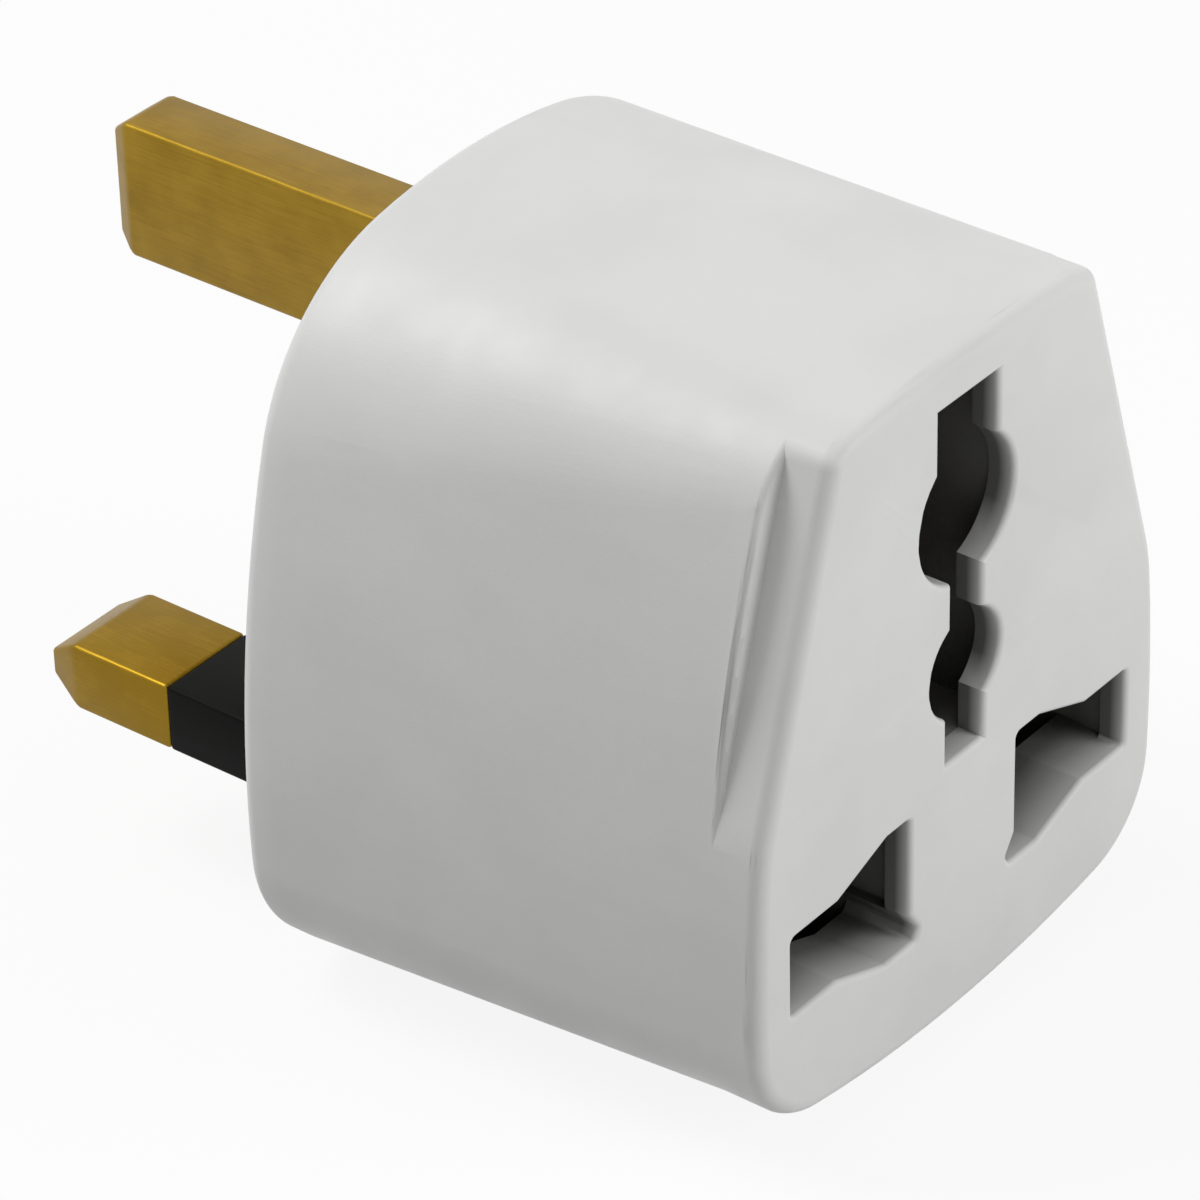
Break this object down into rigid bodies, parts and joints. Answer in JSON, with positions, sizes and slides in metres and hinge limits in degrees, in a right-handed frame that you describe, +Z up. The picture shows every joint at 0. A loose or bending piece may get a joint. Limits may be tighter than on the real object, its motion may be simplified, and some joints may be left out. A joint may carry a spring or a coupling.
{
  "type": "travel adapter",
  "caption": "Travel adapter with a rectangular-pin plug at the rear and a socket face at the front that takes plugs of several patterns.",
  "frame": {"origin": "on the rear mating face, midway between the earth pin and the line of the two lower pins", "axes": "+Y out of the rear face along the pins, +Z up towards the earth pin, +X towards the live pin"},
  "size_m": [0.0392, 0.0541, 0.0419],
  "materials": {
    "body_plastic": "satin moulded off-white",
    "cover_plastic": "fine moulded off-white",
    "pin_brass": "dull drawn brass",
    "sleeve_plastic": "black satin",
    "contact_brass": "rolled strip",
    "screw_steel": "plated"
  },
  "bodies": {
    "root": {"housing": "body_plastic", "rear_cover": "cover_plastic", "cover_screw": "screw_steel", "earth_pin": "pin_brass", "live_pin": "pin_brass", "neutral_pin": "pin_brass", "live_sleeve": "sleeve_plastic", "neutral_sleeve": "sleeve_plastic", "earth_contact": "contact_brass", "live_contact": "contact_brass", "neutral_contact": "contact_brass"}
  },
  "joints": []
}
